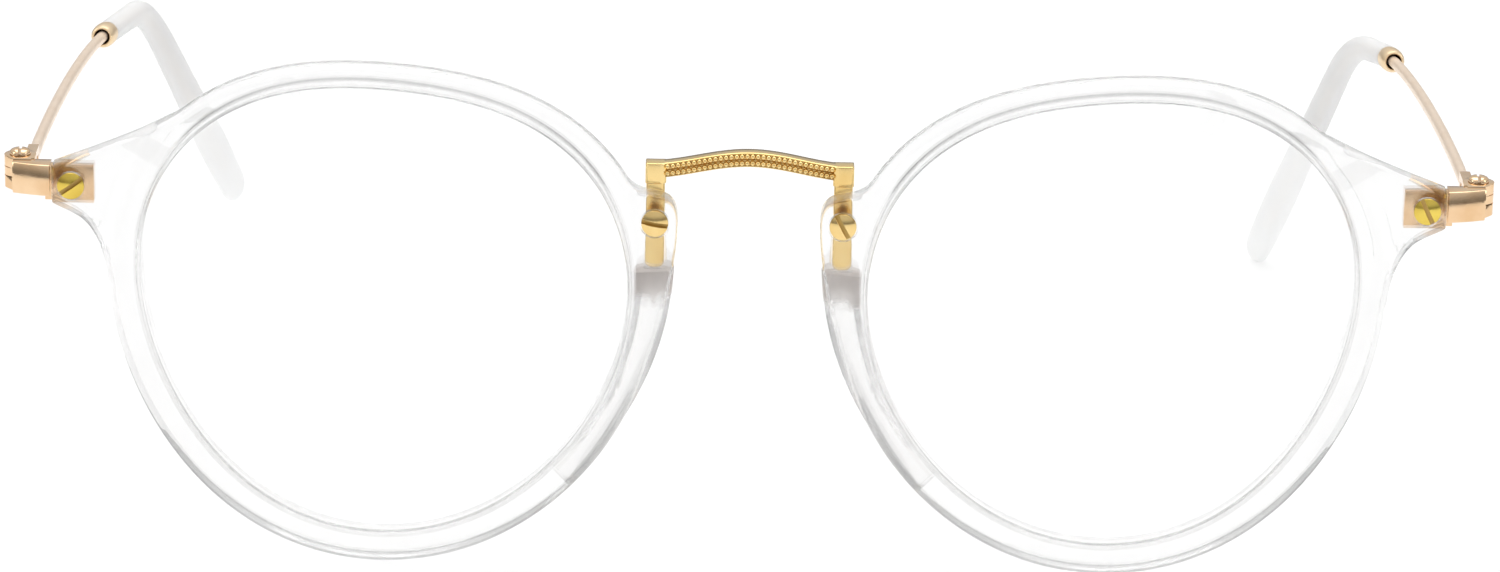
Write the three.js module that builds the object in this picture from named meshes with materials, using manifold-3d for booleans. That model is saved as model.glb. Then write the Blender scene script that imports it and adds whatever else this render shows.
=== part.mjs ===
// Round clear-plastic spectacles with a metal bridge, metal endpieces and wire temples.
// Millimetres. +Z is up, the front looks towards -Y, the temples run back along +Y.
// "left" and "right" are the wearer's: the wearer's left is +X.
import * as THREE from "three";
import { mergeVertices, toCreasedNormals } from "three/addons/utils/BufferGeometryUtils.js";
import Module from "manifold-3d";

// ---- stance ----
const FRONT_LEAN = 3.42; // degrees, top of the front tipped forwards when it stands on a table
const FRONT_LIFT = 0.05; // raises the leaned rims until they rest on Z = 0
const MIDDLE_Y = 63.67; // half of the depth, so that the origin is under the middle of the box

// ---- lens outline (from the lens centre; angle 0 points to the temple, 90 up) ----
const LENS_X = 34.45; // lens centre from the middle of the nose
const LENS_W = 25.8; // lens centre above the lowest point of the rim
const LENS_MEAN = 22.55; // mean radius of the opening
const OVAL_WIDE = 0.45; // ovality, wider than tall
const OVAL_SKEW = 0.35; // ovality turned towards the upper temple corner
const PANTO = 0.87; // full upper corners and flat top
const PANTO_SKEW = -0.2;
const CORNERS = -0.17;

// ---- rim ----
const RIM_DEPTH = 3.4;
const RIM_WIDTH = 2.55;
const RIM_WIDTH_LOW = 0.45; // wider below, narrower above
const RIM_WIDTH_SIDE = 0.45; // wider at both sides
const RIM_ROUND = 0.8;
const RIM_EDGE = 0.3;
const RIM_STEPS = 48;
const GROOVE_HALF = 0.75;
const GROOVE_DEEP = 0.66;

// ---- lens ----
const LENS_IN_GROOVE = 0.5;
const LENS_HALF = 0.5;
const LENS_BULGE = 1.6;

// ---- lugs of the rim, and what lies behind them ----
const LUG_BACK = 0.7;
const BEHIND_LUG = 0.78; // front of the metal that lies behind the lugs
const LUG_EDGE = 0.3;
const LUG_END_X = 65.65;

// ---- bridge ----
const BRIDGE_HALF = 9.85;
const BRIDGE_RISE = 1.27;
const BRIDGE_END_W = 38.2; // underside at the end blocks
const BRIDGE_TALL = 1.42;
const BRIDGE_FRONT = 0.4;
const BRIDGE_BACK = 2.0;
const BLOCK_IN_X = 7.75;
const LEG_X = 8.85;
const LEG_WIDE = 1.75;
const LEG_LOW_W = 29.6;
const BRIDGE_SCREW_W = 34.35;

// ---- front screws ----
const SCREW_HEAD_R = 1.28;
const SCREW_SEAT_R = 1.4;
const SCREW_HEAD_DEEP = 0.55;
const SCREW_SHANK_R = 0.55;
const SCREW_HOLE_R = 0.63;
const SCREW_SLOT = 0.34;
const SCREW_SLOT_DEEP = 0.26;
const SCREW_SUNK = 0.03; // the heads lie just behind the face of the rim
const BRIDGE_SCREW_TURN = { left: 62, right: -10 };
const PLATE_SCREW_TURN = { left: 64, right: 36 };

// ---- endpiece ----
const PLATE_IN_X = 61.7;
const PLATE_LOW_W = 34.9;
const PLATE_TOP_W = 38.3;
const PLATE_BACK = 1.75;
const PLATE_SCREW_X = 63.7;
const PLATE_SCREW_W = 36.95;
const BAR_IN_X = 65.85;
const BAR_OUT_X = 69.45;
const BAR_LOW_W = 35.35;
const BAR_TOP_W = 38.4;
const BAR_RIDGE_W = 36.85; // the ridge where the two front facets meet
const BAR_FRONT = 0.0;
const BAR_SWEEP = 1.0; // how far the front of the bar curves back on its way out
const BAR_FACET = 0.22;
const BAR_BACK = 2.3;

// ---- hinge ----
const HINGE_X = 68.95;
const HINGE_Y = 3.6;
const KNUCKLE_R = 1.5;
const KNUCKLE_LOW_W = 35.4;
const KNUCKLE_GAP_LOW_W = 36.55;
const KNUCKLE_GAP_TOP_W = 37.5;
const KNUCKLE_TOP_W = 38.5;
const KNUCKLE_PLAY = 0.08;
const SWING_PLAY = 0.15; // round the knuckle of the temple
const WEB_IN = 1.2; // the web of a knuckle reaches this far in from the hinge axis
const HINGE_PIN_R = 0.5;
const HINGE_BORE_R = 0.56;
const HINGE_HEAD_R = 1.0;
const HINGE_HEAD_TALL = 0.6;
const HINGE_SLOT = 0.32;

// ---- temple ----
const LEAF_IN_X = 67.7;
const LEAF_OUT_X = 68.7;
const LEAF_FRONT_Y = 5.3;
const LEAF_BACK_Y = 8.6;
const LEAF_LOW_W = 36.2;
const LEAF_TOP_W = 38.0;
const WIRE_R = 0.58;
const WIRE_START = [68.2, 6.9, 37.1];
const WIRE_LEAVES = [69.4, 36.9, 33.9]; // the wire runs towards this point at first
const FERRULE = [69.2, 87.4, 27.1];
const FERRULE_AXIS = [-0.1, 1, -0.11];
const FERRULE_LONG = 3.2;
const FERRULE_R = 1.32;
const FERRULE_MOUTH_R = 0.92;
const WIRE_PLAY = 0.14; // round the wire in the ferrule
// The pair isn't bent alike, so each tip has its own bend.
const TIP_CORNER = { left: [66.2, 98.4, 26.05], right: [66.1, 100.1, 26.9] };
const TIP_BEND_BEFORE = { left: 5.5, right: 3.5 };
const TIP_BEND_AFTER = { left: 6.5, right: 9.0 };
const TIP_STRAIGHT = { left: 43.6, right: 44.5 };
const TIP_INWARD = 9.8; // degrees, towards the head
const TIP_DROP = { left: 50.5, right: 44.2 }; // degrees below the rim axis
const TIP_START_R = 1.24;
const TIP_END_WIDE = 1.5;
const TIP_END_TALL = 2.2;
const TIP_WIDEST = 0.75; // share of the length where it is widest
const TIP_NARROWS = 0.15; // how much narrower it is again at the end
const TIP_GAP = 0.25; // between ferrule and tip
const WIRE_SHORT_OF_END = 6.0;
const CORE_PLAY = 0.1;

// ---- nose pad ----
const PAD_FROM = 168;
const PAD_TO = 226;
const PAD_TOP_W = 29.0;
const PAD_DEEP = 3.3;
const PAD_GAP = 0.05;

const rad = THREE.MathUtils.degToRad;
const wasm = await Module();
wasm.setup();

// ---------- solids ----------
function solid(geometry) {
  const bare = geometry.clone();
  for (const name of Object.keys(bare.attributes)) {
    if (name !== "position") bare.deleteAttribute(name);
  }
  const merged = mergeVertices(bare, 1e-4);
  return new wasm.Manifold(
    new wasm.Mesh({
      numProp: 3,
      vertProperties: Float32Array.from(merged.attributes.position.array),
      triVerts: Uint32Array.from(merged.index.array),
    }),
  );
}

function geometryOf(manifold) {
  const mesh = manifold.getMesh();
  const geometry = new THREE.BufferGeometry();
  const positions = new Float32Array(mesh.numVert * 3);
  for (let i = 0; i < mesh.numVert; i++) {
    positions.set(mesh.vertProperties.subarray(i * mesh.numProp, i * mesh.numProp + 3), i * 3);
  }
  geometry.setAttribute("position", new THREE.BufferAttribute(positions, 3));
  geometry.setIndex(new THREE.BufferAttribute(Uint32Array.from(mesh.triVerts), 1));
  return geometry;
}

// A closed skin over a grid of rings; each ring is a loop of points. Open ends are closed by fans.
function skin(rings, endless) {
  const count = rings[0].length;
  const positions = rings.flat(2);
  const index = [];
  const spans = endless ? rings.length : rings.length - 1;
  for (let i = 0; i < spans; i++) {
    const a = i * count;
    const b = ((i + 1) % rings.length) * count;
    for (let k = 0; k < count; k++) {
      const n = (k + 1) % count;
      index.push(a + k, b + k, b + n, a + k, b + n, a + n);
    }
  }
  if (!endless) {
    for (const [ring, flip] of [[0, false], [rings.length - 1, true]]) {
      const centre = positions.length / 3;
      const mid = [0, 1, 2].map((axis) => rings[ring].reduce((sum, p) => sum + p[axis], 0) / count);
      positions.push(...mid);
      for (let k = 0; k < count; k++) {
        const a = ring * count + k;
        const b = ring * count + ((k + 1) % count);
        index.push(...(flip ? [centre, b, a] : [centre, a, b]));
      }
    }
  }
  const geometry = new THREE.BufferGeometry();
  geometry.setAttribute("position", new THREE.Float32BufferAttribute(positions, 3));
  geometry.setIndex(index);
  return facingOut(geometry);
}

function facingOut(geometry) {
  const p = geometry.attributes.position;
  const index = geometry.index.array;
  const a = new THREE.Vector3();
  const b = new THREE.Vector3();
  const c = new THREE.Vector3();
  let volume = 0;
  for (let i = 0; i < index.length; i += 3) {
    a.fromBufferAttribute(p, index[i]);
    b.fromBufferAttribute(p, index[i + 1]);
    c.fromBufferAttribute(p, index[i + 2]);
    volume += a.dot(b.cross(c));
  }
  if (volume < 0) {
    for (let i = 0; i < index.length; i += 3) {
      const keep = index[i + 1];
      index[i + 1] = index[i + 2];
      index[i + 2] = keep;
    }
  }
  return geometry;
}

// A shape drawn in front view (x, w), made solid from yFront to yBack.
function slab(shape, yFront, yBack, edge = 0, segments = 8, bevels = 1) {
  const geometry = new THREE.ExtrudeGeometry(shape, {
    depth: yBack - yFront - 2 * edge,
    bevelEnabled: edge > 0,
    bevelThickness: edge,
    bevelSize: edge,
    bevelOffset: -edge,
    bevelSegments: bevels,
    curveSegments: segments,
  });
  geometry.rotateX(Math.PI / 2);
  geometry.translate(0, yBack - edge, 0);
  return solid(geometry);
}

// A shape drawn in plan (x, y), made solid from wLow to wTop.
function column(shape, wLow, wTop, segments = 8) {
  const geometry = new THREE.ExtrudeGeometry(shape, {
    depth: wTop - wLow,
    bevelEnabled: false,
    curveSegments: segments,
  });
  geometry.translate(0, 0, wLow);
  return solid(geometry);
}

function box(x0, x1, y0, y1, w0, w1) {
  const geometry = new THREE.BoxGeometry(x1 - x0, y1 - y0, w1 - w0);
  geometry.translate((x0 + x1) / 2, (y0 + y1) / 2, (w0 + w1) / 2);
  return solid(geometry);
}

function post(x, y, radius, w0, w1, sides = 20) {
  const geometry = new THREE.CylinderGeometry(radius, radius, w1 - w0, sides);
  geometry.rotateX(Math.PI / 2);
  geometry.translate(x, y, (w0 + w1) / 2);
  return solid(geometry);
}

function bore(x, w, radius, y0, y1, sides = 18) {
  const geometry = new THREE.CylinderGeometry(radius, radius, y1 - y0, sides);
  geometry.translate(x, (y0 + y1) / 2, w);
  return solid(geometry);
}

// ---------- the lens outline ----------
function openingRadius(angle) {
  return (
    LENS_MEAN +
    OVAL_WIDE * Math.cos(2 * angle) +
    OVAL_SKEW * Math.sin(2 * angle) +
    PANTO * Math.sin(3 * angle) +
    PANTO_SKEW * Math.cos(3 * angle) +
    CORNERS * Math.cos(4 * angle)
  );
}

function rimWidth(angle) {
  return RIM_WIDTH - RIM_WIDTH_LOW * Math.sin(angle) + RIM_WIDTH_SIDE * Math.cos(angle) ** 2;
}

// A point beside the outline: `out` outwards from the opening edge, y deep.
function besideLens(angle, out, y) {
  const r = openingRadius(angle) + out;
  return [LENS_X + r * Math.cos(angle), y, LENS_W + r * Math.sin(angle)];
}

// ---------- rim ----------
function rimRing() {
  const half = RIM_DEPTH / 2;
  const rings = [];
  for (let i = 0; i < RIM_STEPS; i++) {
    const angle = (2 * Math.PI * i) / RIM_STEPS;
    const wide = rimWidth(angle);
    const section = [
      [0, -half + RIM_EDGE],
      [RIM_EDGE, -half],
      [wide - RIM_ROUND, -half],
      [wide - RIM_ROUND * 0.29, -half + RIM_ROUND * 0.29],
      [wide, -half + RIM_ROUND],
      [wide, half - RIM_ROUND],
      [wide - RIM_ROUND * 0.29, half - RIM_ROUND * 0.29],
      [wide - RIM_ROUND, half],
      [RIM_EDGE, half],
      [0, half - RIM_EDGE],
      [0, GROOVE_HALF],
      [GROOVE_DEEP, GROOVE_HALF],
      [GROOVE_DEEP, -GROOVE_HALF],
      [0, -GROOVE_HALF],
    ];
    rings.push(section.map(([out, y]) => besideLens(angle, out, y)));
  }
  return solid(skin(rings, true));
}

// Follows the middle of the rim, so that a lug's hidden side stays inside the rim.
function alongRim(shape, fromDegrees, toDegrees) {
  const steps = 7;
  for (let i = 0; i <= steps; i++) {
    const angle = rad(fromDegrees + ((toDegrees - fromDegrees) * i) / steps);
    const [x, , w] = besideLens(angle, 0.95, 0);
    shape.lineTo(x, w);
  }
}

function templeLug() {
  const shape = new THREE.Shape();
  const [topX, , topW] = besideLens(rad(60), 2.0, 0);
  shape.moveTo(topX, topW);
  shape.quadraticCurveTo(55.9, 42.5, LUG_END_X, 39.0);
  shape.lineTo(LUG_END_X, 35.0);
  shape.quadraticCurveTo(60.9, 34.0, 60.4, 27.4);
  alongRim(shape, 4, 57);
  return slab(shape, -RIM_DEPTH / 2, LUG_BACK, LUG_EDGE, 10);
}

function nasalLug() {
  const shape = new THREE.Shape();
  shape.moveTo(13.3, 40.2);
  shape.quadraticCurveTo(11.6, 37.7, 9.9, 37.3);
  shape.lineTo(8.5, 37.05);
  shape.quadraticCurveTo(6.75, 36.9, 6.6, 34.8);
  shape.quadraticCurveTo(6.55, 32.5, 7.05, 29.5);
  shape.quadraticCurveTo(7.7, 24.5, 9.9, 19.0);
  alongRim(shape, 197, 144);
  return slab(shape, -RIM_DEPTH / 2, LUG_BACK, LUG_EDGE, 8);
}

function screwSeat(x, w) {
  const front = -RIM_DEPTH / 2;
  const seat = bore(x, w, SCREW_SEAT_R, front - 1, front + SCREW_HEAD_DEEP - 0.1);
  return seat.add(bore(x, w, SCREW_HOLE_R, front - 1, RIM_DEPTH));
}

function rimSolid() {
  const legPocket = box(
    LEG_X - LEG_WIDE / 2 - 0.1,
    LEG_X + LEG_WIDE / 2 + 0.12,
    LUG_BACK,
    RIM_DEPTH,
    LEG_LOW_W - 0.15,
    46,
  );
  return rimRing()
    .add(templeLug())
    .add(nasalLug())
    .subtract(legPocket)
    .subtract(screwSeat(LEG_X, BRIDGE_SCREW_W))
    .subtract(screwSeat(PLATE_SCREW_X, PLATE_SCREW_W));
}

// ---------- lens ----------
function lensSolid() {
  const steps = RIM_STEPS;
  const shares = [0.02, 0.35, 0.68, 1];
  const rings = [];
  const ringAt = (share, side) => {
    const ring = [];
    for (let i = 0; i < steps; i++) {
      const angle = (2 * Math.PI * i) / steps;
      const r = (openingRadius(angle) + LENS_IN_GROOVE) * share;
      const y = -LENS_BULGE * (1 - share * share) + side * LENS_HALF;
      ring.push([LENS_X + r * Math.cos(angle), y, LENS_W + r * Math.sin(angle)]);
    }
    return ring;
  };
  for (const share of shares) rings.push(ringAt(share, -1));
  for (const share of [...shares].reverse()) rings.push(ringAt(share, 1));
  return solid(skin(rings, false));
}

// ---------- nose pad ----------
// The side towards the nose follows the nasal lug and the rim; the pad thins out downwards.
function noseSide(share) {
  return 4.75 - 1.6 * share ** 0.65;
}

function padSolid() {
  const steps = 14;
  const yFront = RIM_DEPTH / 2 + PAD_GAP;
  const rings = [];
  for (let i = 0; i <= steps; i++) {
    const share = i / steps;
    const angle = rad(PAD_FROM + (PAD_TO - PAD_FROM) * share);
    const deep = 0.25 + PAD_DEEP * (1 - share ** 1.6);
    const wide = noseSide(share);
    const section = [
      [0.75, yFront],
      [wide - 0.15, yFront],
      [wide, yFront + 0.2 * deep],
      [wide - 0.45, yFront + 0.62 * deep],
      [wide - 1.15, yFront + 0.92 * deep],
      [wide - 1.75, yFront + deep],
      [1.15, yFront + 0.8 * deep],
      [0.8, yFront + 0.4 * deep],
    ];
    rings.push(section.map(([out, y]) => besideLens(angle, out, y)));
  }
  const above = box(0, LENS_X, 0, 2 * RIM_DEPTH + PAD_DEEP, PAD_TOP_W, LENS_W + LENS_MEAN);
  return solid(skin(rings, false)).subtract(above);
}

// ---------- bridge ----------
function bridgeUnderside(x) {
  return BRIDGE_END_W + (BRIDGE_RISE * (1 + Math.cos((Math.PI * x) / BRIDGE_HALF))) / 2;
}

function archShape(low, top, half) {
  const steps = 18;
  const shape = new THREE.Shape();
  for (let i = 0; i <= steps; i++) {
    const x = -half + (2 * half * i) / steps;
    shape[i ? "lineTo" : "moveTo"](x, bridgeUnderside(x) + low);
  }
  for (let i = steps; i >= 0; i--) {
    const x = -half + (2 * half * i) / steps;
    shape.lineTo(x, bridgeUnderside(x) + top);
  }
  return shape;
}

function legShape() {
  const shape = new THREE.Shape();
  const half = LEG_WIDE / 2;
  const round = 0.6;
  shape.moveTo(LEG_X - half, BRIDGE_END_W + 0.5);
  shape.lineTo(LEG_X - half, LEG_LOW_W + round);
  shape.quadraticCurveTo(LEG_X - half, LEG_LOW_W, LEG_X - half + round, LEG_LOW_W);
  shape.lineTo(LEG_X + half - round, LEG_LOW_W);
  shape.quadraticCurveTo(LEG_X + half, LEG_LOW_W, LEG_X + half, LEG_LOW_W + round);
  shape.lineTo(LEG_X + half, BRIDGE_END_W + 0.5);
  return shape;
}

// The block where the arch turns down into the leg, its inner front corner cut away.
function blockShape() {
  const shape = new THREE.Shape();
  shape.moveTo(BRIDGE_HALF, BRIDGE_BACK);
  shape.lineTo(BLOCK_IN_X, BRIDGE_BACK);
  shape.lineTo(BLOCK_IN_X, BRIDGE_FRONT + 0.2);
  shape.lineTo(BLOCK_IN_X + 0.6, BRIDGE_FRONT - 0.25);
  shape.lineTo(BRIDGE_HALF - 0.2, BRIDGE_FRONT - 0.25);
  shape.lineTo(BRIDGE_HALF, BRIDGE_FRONT - 0.05);
  return shape;
}

function bridgeSolid() {
  const arch = slab(archShape(0, BRIDGE_TALL, BRIDGE_HALF - 0.3), BRIDGE_FRONT, BRIDGE_BACK, 0.12);
  const groove = slab(
    archShape(BRIDGE_TALL * 0.46, BRIDGE_TALL * 0.54, BLOCK_IN_X - 0.2),
    BRIDGE_FRONT - 1,
    BRIDGE_FRONT + 0.14,
  );
  const leg = slab(legShape(), BEHIND_LUG, BRIDGE_BACK, 0.12, 4);
  const block = column(blockShape(), BRIDGE_END_W - 0.5, BRIDGE_END_W + BRIDGE_TALL + 0.12);
  const hole = bore(LEG_X, BRIDGE_SCREW_W, SCREW_HOLE_R, 0, RIM_DEPTH);
  const end = leg.add(block).subtract(hole);
  const otherEnd = solid(facingOut(geometryOf(end).scale(-1, 1, 1)));
  return arch.subtract(groove).add(end).add(otherEnd);
}

// ---------- screws ----------
// Made on the origin, its axis along Y; the scene graph puts it in its seat and turns its slot.
function frontScrew(shankEnd) {
  const front = -RIM_DEPTH / 2 + SCREW_SUNK;
  const seat = -RIM_DEPTH / 2 + SCREW_HEAD_DEEP - 0.14;
  const profile = [
    [0, front + 0.04],
    [SCREW_HEAD_R - 0.3, front],
    [SCREW_HEAD_R, front + 0.2],
    [SCREW_HEAD_R, seat],
    [SCREW_SHANK_R, seat],
    [SCREW_SHANK_R, shankEnd - 0.1],
    [SCREW_SHANK_R - 0.1, shankEnd],
    [0, shankEnd],
  ];
  const turned = solid(facingOut(mergeVertices(bareLathe(profile, 18), 1e-4)));
  const slot = box(-2, 2, front - 1, front + SCREW_SLOT_DEEP, -SCREW_SLOT / 2, SCREW_SLOT / 2);
  return turned.subtract(slot);
}

function bareLathe(profile, sides) {
  const points = profile.map(([r, along]) => new THREE.Vector2(r, along));
  const geometry = new THREE.LatheGeometry(points, sides);
  geometry.deleteAttribute("normal");
  geometry.deleteAttribute("uv");
  return geometry;
}

function hingeScrew() {
  const low = KNUCKLE_LOW_W + 0.1;
  const seat = KNUCKLE_TOP_W + 0.03;
  const profile = [
    [0, low],
    [HINGE_PIN_R, low],
    [HINGE_PIN_R, seat],
    [HINGE_HEAD_R, seat],
    [HINGE_HEAD_R, seat + 0.16],
    [HINGE_HEAD_R * 0.82, seat + HINGE_HEAD_TALL * 0.75],
    [HINGE_HEAD_R * 0.45, seat + HINGE_HEAD_TALL * 0.96],
    [0, seat + HINGE_HEAD_TALL],
  ];
  const geometry = bareLathe(profile, 16);
  geometry.rotateX(Math.PI / 2);
  const turned = solid(facingOut(mergeVertices(geometry, 1e-4)));
  return turned.subtract(box(-HINGE_SLOT / 2, HINGE_SLOT / 2, -2, 2, seat + 0.2, seat + 2));
}

// ---------- endpiece ----------
// How far back the front of the bar is at x: it curves back towards the hinge.
function barFront(x) {
  const share = Math.max(0, (x - BAR_IN_X) / (BAR_OUT_X - BAR_IN_X));
  return BAR_FRONT + BAR_SWEEP * share ** 1.5;
}

// Side section (y, w) of the bar: two front facets meeting in a ridge.
function barSolid() {
  const ringAt = (x) => {
    const front = barFront(x);
    const section = [
      [front + BAR_FACET, BAR_LOW_W],
      [front, BAR_RIDGE_W],
      [front + BAR_FACET, BAR_TOP_W - 0.12],
      [front + BAR_FACET + 0.12, BAR_TOP_W],
      [BAR_BACK, BAR_TOP_W],
      [BAR_BACK, BAR_LOW_W],
    ];
    return section.map(([y, w]) => [x, y, w]);
  };
  const steps = 5;
  const rings = [];
  for (let i = 0; i <= steps; i++) {
    rings.push(ringAt(BAR_IN_X + ((BAR_OUT_X - BAR_IN_X) * i) / steps));
  }
  return solid(skin(rings, false));
}

// Plan view of a knuckle of the endpiece and the web that carries it.
function knuckleShape() {
  const shape = new THREE.Shape();
  shape.moveTo(HINGE_X - WEB_IN, BAR_BACK - 0.5);
  shape.lineTo(BAR_OUT_X - 0.02, BAR_BACK - 0.5);
  shape.lineTo(HINGE_X + KNUCKLE_R * 0.88, HINGE_Y - KNUCKLE_R * 0.47);
  shape.absarc(HINGE_X, HINGE_Y, KNUCKLE_R, rad(-28), rad(180), false);
  shape.lineTo(HINGE_X - KNUCKLE_R, BAR_BACK - 0.1);
  shape.lineTo(HINGE_X - WEB_IN, BAR_BACK - 0.1);
  return shape;
}

function endpieceSolid() {
  const plate = slab(
    new THREE.Shape([
      new THREE.Vector2(PLATE_IN_X, PLATE_LOW_W),
      new THREE.Vector2(BAR_IN_X + 0.5, PLATE_LOW_W),
      new THREE.Vector2(BAR_IN_X + 0.5, PLATE_TOP_W),
      new THREE.Vector2(PLATE_IN_X, PLATE_TOP_W),
    ]),
    BEHIND_LUG,
    PLATE_BACK,
    0.12,
  );
  const lowKnuckle = column(knuckleShape(), KNUCKLE_LOW_W, KNUCKLE_GAP_LOW_W, 12);
  const topKnuckle = column(knuckleShape(), KNUCKLE_GAP_TOP_W, KNUCKLE_TOP_W, 12);
  const swing = post(HINGE_X, HINGE_Y, KNUCKLE_R + SWING_PLAY, KNUCKLE_GAP_LOW_W, KNUCKLE_GAP_TOP_W);
  return plate
    .add(barSolid())
    .add(lowKnuckle)
    .add(topKnuckle)
    .subtract(swing)
    .subtract(post(HINGE_X, HINGE_Y, HINGE_BORE_R, KNUCKLE_LOW_W - 1, KNUCKLE_TOP_W + 1, 20))
    .subtract(bore(PLATE_SCREW_X, PLATE_SCREW_W, SCREW_HOLE_R, 0, RIM_DEPTH));
}

// ---------- temple ----------
function vector(list) {
  return new THREE.Vector3(...list);
}

// A point on the axis of the ferrule, `ahead` of its middle.
function alongFerrule(ahead) {
  return vector(FERRULE).addScaledVector(vector(FERRULE_AXIS).normalize(), ahead);
}

function wireCurve() {
  return new THREE.CubicBezierCurve3(
    vector(WIRE_START),
    vector(WIRE_LEAVES),
    alongFerrule(-12),
    vector(FERRULE),
  );
}

// From the ferrule over the ear bend to the end of the tip.
function tipCurve(side) {
  const corner = vector(TIP_CORNER[side]);
  const from = vector(FERRULE);
  const drop = rad(TIP_DROP[side]);
  const inward = rad(TIP_INWARD);
  const direction = new THREE.Vector3(
    -Math.sin(inward),
    Math.cos(drop) * Math.cos(inward),
    -Math.sin(drop) * Math.cos(inward),
  );
  const back = from.clone().sub(corner).normalize();
  const before = corner.clone().addScaledVector(back, TIP_BEND_BEFORE[side]);
  const towards = corner.clone().addScaledVector(back, TIP_BEND_BEFORE[side] + 3);
  const after = corner.clone().addScaledVector(direction, TIP_BEND_AFTER[side]);
  const end = corner.clone().addScaledVector(direction, TIP_STRAIGHT[side]);
  const path = new THREE.CurvePath();
  path.add(new THREE.CubicBezierCurve3(from, alongFerrule(4), towards, before));
  path.add(new THREE.QuadraticBezierCurve3(before, corner, after));
  path.add(new THREE.LineCurve3(after, end));
  return path;
}

// Rings of an ellipse along a path; half(share) gives [half width, half height].
function hose(frames, half, sides) {
  return frames.map(({ point, tangent, share }) => {
    const across = new THREE.Vector3(0, 0, 1).cross(tangent).normalize();
    const up = tangent.clone().cross(across).normalize();
    const [wide, tall] = half(share);
    const ring = [];
    for (let k = 0; k < sides; k++) {
      const angle = (2 * Math.PI * (k + 0.5)) / sides;
      const p = point
        .clone()
        .addScaledVector(across, wide * Math.cos(angle))
        .addScaledVector(up, tall * Math.sin(angle));
      ring.push(p.toArray());
    }
    return ring;
  });
}

function framesOf(curve, shares, first = 0, last = 1) {
  return shares.map((share) => {
    const at = first + (last - first) * share;
    return { point: curve.getPointAt(at), tangent: curve.getTangentAt(at).normalize(), share };
  });
}

const evenly = (steps) => Array.from({ length: steps + 1 }, (_, i) => i / steps);

// One wire: from the hinge leaf through the ferrule into the tip.
function wireRings(side, radius, fromTip, extra) {
  const tip = tipCurve(side);
  const long = tip.getLength();
  const wire = wireCurve();
  const rings = [];
  if (!fromTip) rings.push(...hose(framesOf(wire, evenly(10).slice(0, -1)), () => [radius, radius], 8));
  const first = fromTip ? fromTip / long : 0.012;
  const last = 1 - (WIRE_SHORT_OF_END - extra) / long;
  rings.push(...hose(framesOf(tip, evenly(18), first, last), () => [radius, radius], 8));
  return rings;
}

function wireSolid(side) {
  return solid(skin(wireRings(side, WIRE_R, 0, 0), false));
}

function tipSolid(side) {
  const curve = tipCurve(side);
  const long = curve.getLength();
  const first = (FERRULE_LONG / 2 + TIP_GAP) / long;
  const capLong = TIP_END_TALL / (long * (1 - first));
  const shares = [...evenly(18).map((s) => s * (1 - capLong))];
  for (const turn of [30, 55, 75]) shares.push(1 - capLong + capLong * Math.sin(rad(turn)));
  const half = (share) => {
    const grow = Math.min(1, share / TIP_WIDEST) ** 1.4;
    const wide = TIP_START_R + (TIP_END_WIDE - TIP_START_R) * grow;
    const tall = TIP_START_R + (TIP_END_TALL - TIP_START_R) * grow;
    const beyond = Math.max(0, (share - TIP_WIDEST) / (1 - TIP_WIDEST));
    const past = Math.max(0, (share - (1 - capLong)) / capLong);
    const size = (1 - TIP_NARROWS * beyond ** 2) * Math.sqrt(1 - past ** 2);
    return [wide * size, tall * size];
  };
  const outside = solid(skin(hose(framesOf(curve, shares, first, 1), half, 12), false));
  const core = solid(skin(wireRings(side, WIRE_R + CORE_PLAY, 0.2, 0.3), false));
  return outside.subtract(core);
}

function ferruleSolid() {
  const half = FERRULE_LONG / 2;
  const inside = WIRE_R + WIRE_PLAY;
  const profile = [
    [inside, half],
    [inside, -half + 1.5],
    [FERRULE_MOUTH_R, -half + 0.7],
    [FERRULE_MOUTH_R, -half],
    [FERRULE_R - 0.22, -half],
    [FERRULE_R - 0.06, -half + 0.45],
    [FERRULE_R, -half + 1.1],
    [FERRULE_R, half - 1.1],
    [FERRULE_R - 0.05, half - 0.4],
    [FERRULE_R - 0.16, half],
    [inside, half],
  ];
  const geometry = bareLathe(profile, 18);
  const along = vector(FERRULE_AXIS).normalize();
  const turn = new THREE.Quaternion().setFromUnitVectors(new THREE.Vector3(0, 1, 0), along);
  geometry.applyQuaternion(turn);
  geometry.translate(...FERRULE);
  return solid(facingOut(mergeVertices(geometry, 1e-4)));
}

function leafSolid() {
  const low = KNUCKLE_GAP_LOW_W + KNUCKLE_PLAY;
  const top = KNUCKLE_GAP_TOP_W - KNUCKLE_PLAY;
  const arm = new THREE.Shape();
  arm.moveTo(LEAF_OUT_X, LEAF_FRONT_Y + 0.5);
  arm.lineTo(LEAF_IN_X, LEAF_FRONT_Y + 0.5);
  arm.lineTo(LEAF_IN_X, HINGE_Y + 0.3);
  arm.lineTo(HINGE_X, HINGE_Y);
  arm.lineTo(HINGE_X + 0.9, HINGE_Y + 0.9);
  const block = box(LEAF_IN_X, LEAF_OUT_X, LEAF_FRONT_Y, LEAF_BACK_Y, LEAF_LOW_W, LEAF_TOP_W);
  const wireSeat = solid(
    skin(hose(framesOf(wireCurve(), [0, 1], 0, 0.05), () => [WIRE_R + 0.06, WIRE_R + 0.06], 8), false),
  );
  return post(HINGE_X, HINGE_Y, KNUCKLE_R, low, top)
    .add(column(arm, low, top))
    .add(block)
    .subtract(wireSeat)
    .subtract(post(HINGE_X, HINGE_Y, HINGE_BORE_R, low - 1, top + 1, 20));
}

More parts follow.
